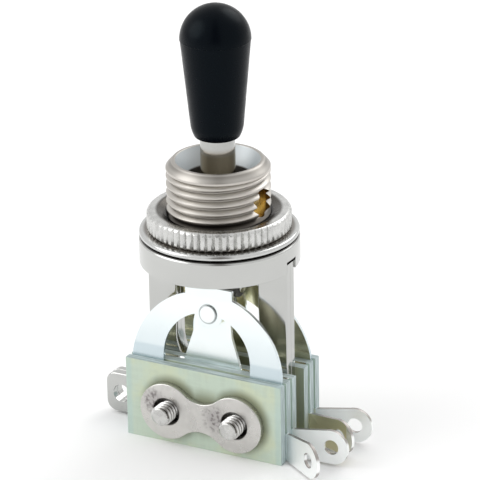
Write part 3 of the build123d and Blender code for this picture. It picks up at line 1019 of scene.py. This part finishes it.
class SWITCH_OT_washer(bpy.types.Operator):
    """Turns the washer with its rounded rim"""

    bl_idname = "switch.washer"
    bl_label = "Washer"

    def execute(self, context):
        top, radius = high("washer").z, high("washer").x
        hole = THREAD_RADIUS + 0.05 * MM
        outline = (
            (hole, top / 2), (hole, 0), (radius - 0.5 * MM, 0),
            (radius - 0.12 * MM, context.scene.switch_sheets.washer_rise),
            (radius, top * 0.55), (radius - 0.15 * MM, top), (hole, top), (hole, top / 2),
        )
        ring = turned("washer_ring", eased(outline, 0.22 * MM), BARREL_STEPS)
        smooth(ring, 40)
        stand_in(ring, "washer_ring", "base", "washer_nickel", ["washer"])
        return {"FINISHED"}


class SWITCH_OT_frame(bpy.types.Operator):
    """Finishes the stamped frame, with the torn band that a stamping tool leaves on its edge"""

    bl_idname = "switch.frame"
    bl_label = "Frame"

    def execute(self, context):
        sizes = context.scene.switch_sheets
        plate = copied("frame", "frame_plate")
        for across in (sizes.shear_start, sizes.shear_end):
            edit(plate)
            bpy.ops.mesh.bisect(plane_co=(0, across, 0), plane_no=(0, 1, 0))
        deselect()
        start, end = sizes.shear_start + 0.01 * MM, sizes.shear_end - 0.01 * MM
        for face in plate.data.polygons:
            face.select = start < face.center.y < end and abs(face.normal.y) < 0.1
        bpy.context.view_layer.objects.active = plate
        plate.select_set(True)
        bpy.ops.object.mode_set(mode="EDIT")
        bpy.ops.mesh.select_mode(type="FACE")
        bpy.ops.mesh.inset(
            thickness=0.02 * MM, depth=-sizes.shear_band, use_boundary=False, use_even_offset=False
        )
        smooth(plate, 30)
        stand_in(plate, "frame_plate", "base", "frame_nickel", ["frame"])
        return {"FINISHED"}


class SWITCH_OT_insulators(bpy.types.Operator):
    """Finishes the six laminate sheets between the leaves"""

    bl_idname = "switch.insulators"
    bl_label = "Insulators"

    def execute(self, context):
        edge = context.scene.switch_sheets.laminate_edge
        for side, _ in SIDES:
            for number in (1, 2, 3):
                node = f"{side}_insulator_{number}"
                refined(node, node + "_sheet", "base", "insulator_green", edge, flat=True)
        return {"FINISHED"}


def bent_outwards(piece):
    """Gives a piece a mesh of its own; it makes no bend or hinge."""
    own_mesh(piece)


class SWITCH_OT_leaves(bpy.types.Operator):
    """Finishes the leaf springs, with each outer arch apart from the foot that the stack holds"""

    bl_idname = "switch.leaves"
    bl_label = "Contact leaves"

    def execute(self, context):
        edge = context.scene.switch_sheets.leaf_edge
        knee = high("front_insulator_1").z
        clear = 100 * MM
        for side, sign in SIDES:
            refined(f"{side}_inner_leaf", f"{side}_inner_blade", "base", "leaf_silver", edge, flat=True)
            for name, end in ((f"{side}_outer_foot", -clear), (f"{side}_outer_arch", clear)):
                within = block("within", (-clear, -clear, knee), (clear, clear, end))
                part = refined(
                    f"{side}_outer_leaf", name, "base", "leaf_silver", edge, flat=True, within=within
                )
            bent_outwards(part)
        return {"FINISHED"}


class SWITCH_OT_contacts(bpy.types.Operator):
    """Finishes the contact rivets"""

    bl_idname = "switch.contacts"
    bl_label = "Contact rivets"

    def execute(self, context):
        for side, sign in SIDES:
            for leaf in ("inner", "outer"):
                node = f"{side}_{leaf}_contact"
                rivet = refined(node, node + "_rivet", "base", "contact_silver")
            bent_outwards(rivet)
        return {"FINISHED"}


class SWITCH_OT_clamps(bpy.types.Operator):
    """Finishes the two clamp plates"""

    bl_idname = "switch.clamps"
    bl_label = "Clamp plates"

    def execute(self, context):
        edge = context.scene.switch_sheets.plate_edge
        for side, _ in SIDES:
            node = f"{side}_clamp_plate"
            refined(node, node + "_body", "base", "clamp_nickel", edge, flat=True, segments=3, angle=60)
        return {"FINISHED"}


class SWITCH_OT_screws(bpy.types.Operator):
    """Turns the clamp screws, cuts their threads and driver slots"""

    bl_idname = "switch.screws"
    bl_label = "Clamp screws"

    def execute(self, context):
        sizes = context.scene.switch_screws
        crest = sizes.radius
        root = crest - sizes.depth
        for node in SCREWS:
            start, end = low(node), high(node)
            head_radius = (end.x - start.x) / 2
            head_top = end.y - start.y
            head_foot = head_top - sizes.head
            outline = (
                (0, 0), (root - 0.06 * MM, 0), (root, 0.06 * MM),
                (root, sizes.threaded - 0.2 * MM), (crest, sizes.threaded), (crest, head_foot),
                (head_radius, head_foot), (head_radius, head_top), (0, head_top),
            )
            shank = turned(node + "_shank", eased(outline, sizes.head_round / 2, 5), SCREW_STEPS)
            ridge = thread_ridge(sizes, crest, 0.0, sizes.threaded, SCREW_STEPS)
            outer, thread_top = crest + 0.01 * MM, sizes.threaded - 0.1 * MM
            envelope = (
                (0, 0.02 * MM), (root - 0.02 * MM, 0.02 * MM), (outer, sizes.end_chamfer),
                (outer, thread_top), (0, thread_top),
            )
            add_thread(shank, ridge, envelope, SCREW_STEPS)
            half = sizes.slot_width / 2
            slot = block(
                "slot",
                (-2 * head_radius, -half, head_top - sizes.slot_depth),
                (2 * head_radius, half, head_top + MM),
            )
            combine(shank, slot, "DIFFERENCE")
            centre = middle(node)
            place(shank, (centre.x, start.y, centre.z), (-math.pi / 2, 0, 0))
            smooth(shank, 32)
            stand_in(shank, node + "_shank", "base", "screw_nickel", [node])
        return {"FINISHED"}


class SWITCH_OT_lever(bpy.types.Operator):
    """Finishes the lever, its cam pin and the two bushes"""

    bl_idname = "switch.lever"
    bl_label = "Lever and cam"

    def execute(self, context):
        refined("lever", "lever_shaft", "lever", "lever_steel", 0.08 * MM)
        refined("cam_pin", "cam_pin_rivet", "lever", "lever_steel", 0.04 * MM)
        for side in ("left", "right"):
            refined(f"{side}_cam_bush", f"{side}_bush_roller", "lever", "cam_plastic", 0.03 * MM)
        return {"FINISHED"}


class SWITCH_OT_pin(bpy.types.Operator):
    """Finishes the pivot pin with its peened ends, and the insulating sleeves"""

    bl_idname = "switch.pin"
    bl_label = "Pivot pin and sleeves"

    def execute(self, context):
        edge = 0.06 * MM
        refined("pivot_pin", "pivot_pin_body", "base", "pin_brass", edge)
        for side in ("left", "right"):
            refined(f"{side}_sleeve", f"{side}_sleeve_tube", "base", "sleeve_plastic", edge)
        return {"FINISHED"}


def soft_light(stage, name, spot):
    """A round lamp that shines on the panel seat."""
    bpy.ops.object.light_add(type="AREA", location=spot)
    lamp = bpy.context.object
    lamp.name = name
    lamp.data.shape = "DISK"
    lamp.data.size = stage.lamp_size
    lamp.data.energy = stage.lamp_power
    lamp.rotation_euler = (-Vector(spot)).to_track_quat("-Z", "Y").to_euler()


class SWITCH_OT_stage(bpy.types.Operator):
    """Sets up the pale floor, the soft studio light and the camera"""

    bl_idname = "switch.stage"
    bl_label = "Stage"

    def execute(self, context):
        stage = context.scene.switch_stage
        deselect()
        floor_width = 3.0
        bpy.ops.mesh.primitive_plane_add(size=floor_width)
        floor = context.object
        floor.name = "floor"
        place(floor, (0, 0, cad_box[0].z))
        paper = Finish("floor_paper", (0.96, 0.96, 0.96), 0.9, specular=0.1)
        paper.lay((0.98, 0.98, 0.98), paper.noise(60 * MM, detail=2))
        floor.data.materials.append(paper.painted())
        soft_light(stage, "key_light", (-0.38, -0.30, 0.30))
        soft_light(stage, "back_light", (0.15, 0.50, 0.45))

        # White all around, apart from a grey strip behind the camera for the bright metal to mirror.
        front = Vector((math.sin(stage.azimuth), -math.cos(stage.azimuth), 0))
        context.scene.world = bpy.data.worlds.new("studio")
        sky = Pattern(context.scene.world, "Generated")
        level = sky.vector("NORMALIZE", sky.vector("MULTIPLY", sky.place, (1, 1, 0)))
        strip = sky.above(sky.vector("DOT_PRODUCT", level, front), 0.94, 0.995)
        background = sky.nodes["Background"]
        sky.feed(background.inputs["Color"], sky.mix(strip, (1.0, 1.0, 1.0), (0.24, 0.225, 0.215)))
        sky.feed(background.inputs["Strength"], stage.sky)

        camera = bpy.data.objects.new("camera", bpy.data.cameras.new("camera"))
        context.scene.collection.objects.link(camera)
        back = front * math.cos(stage.elevation) + Vector((0, 0, math.sin(stage.elevation)))
        camera.location = back * stage.distance
        aim = Vector((stage.aim_right, 0, -stage.aim_down)) - camera.location
        camera.rotation_euler = aim.to_track_quat("-Z", "Y").to_euler()
        camera.rotation_euler.rotate_axis("Z", stage.roll)
        camera.data.lens = stage.lens
        camera.data.clip_start = 0.01
        camera.data.clip_end = 20
        context.scene.camera = camera
        context.scene.view_settings.view_transform = "Standard"
        return {"FINISHED"}


OPERATORS = (
    SWITCH_OT_finishes,
    SWITCH_OT_lever,
    SWITCH_OT_tip,
    SWITCH_OT_bushing,
    SWITCH_OT_pin,
    SWITCH_OT_washer,
    SWITCH_OT_nut,
    SWITCH_OT_frame,
    SWITCH_OT_insulators,
    SWITCH_OT_leaves,
    SWITCH_OT_contacts,
    SWITCH_OT_clamps,
    SWITCH_OT_screws,
    SWITCH_OT_stage,
)
SETTINGS = {
    "switch_tip": TipSettings,
    "switch_bushing": BushingSettings,
    "switch_nut": NutSettings,
    "switch_sheets": SheetSettings,
    "switch_screws": ScrewSettings,
    "switch_colours": ColourSettings,
    "switch_stage": StageSettings,
}


class SWITCH_PT_panel(bpy.types.Panel):
    """Lists the operators and the sizes they read"""

    bl_idname = "SWITCH_PT_panel"
    bl_label = "Toggle Switch"
    bl_space_type = "VIEW_3D"
    bl_region_type = "UI"
    bl_category = "Toggle Switch"

    def draw(self, context):
        for operator in OPERATORS:
            self.layout.operator(operator.bl_idname)
        for name, group in SETTINGS.items():
            box = self.layout.box()
            box.label(text=group.__doc__)
            for key in group.__annotations__:
                box.prop(getattr(context.scene, name), key)


def register():
    for name, group in SETTINGS.items():
        bpy.utils.register_class(group)
        setattr(bpy.types.Scene, name, PointerProperty(type=group))
    for kind in (*OPERATORS, SWITCH_PT_panel):
        bpy.utils.register_class(kind)


def unregister():
    for kind in (SWITCH_PT_panel, *reversed(OPERATORS)):
        bpy.utils.unregister_class(kind)
    for name, group in SETTINGS.items():
        delattr(bpy.types.Scene, name)
        bpy.utils.unregister_class(group)


def main():
    register()
    for operator in OPERATORS:
        group, name = operator.bl_idname.split(".")
        getattr(getattr(bpy.ops, group), name)()


if __name__ == "__main__":
    main()
